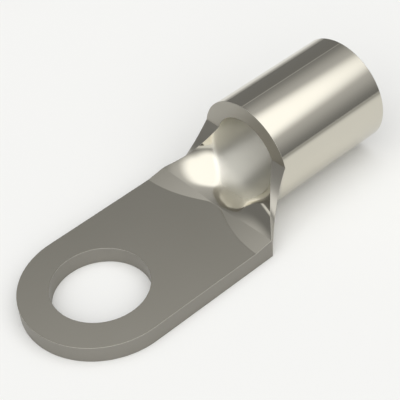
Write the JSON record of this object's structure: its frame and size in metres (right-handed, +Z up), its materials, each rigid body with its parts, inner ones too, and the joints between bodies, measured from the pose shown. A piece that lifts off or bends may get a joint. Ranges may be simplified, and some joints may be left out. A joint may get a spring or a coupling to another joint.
{
  "type": "uninsulated ring terminal",
  "caption": "Uninsulated ring terminal: a flat tongue with a stud hole, curled up through a winged neck into a round brazed-seam wire barrel.",
  "frame": {"origin": "centre of the stud hole, on the underside of the tongue", "axes": "+X along the barrel towards the wire, +Z up out of the tongue's top face, +Y across the tongue"},
  "size_m": [0.0284, 0.011, 0.0079],
  "materials": {
    "tin_plated_copper": "bright tin plate over copper, smooth and mirror-like"
  },
  "bodies": {
    "root": {"ring_terminal": "tin_plated_copper"}
  },
  "joints": []
}
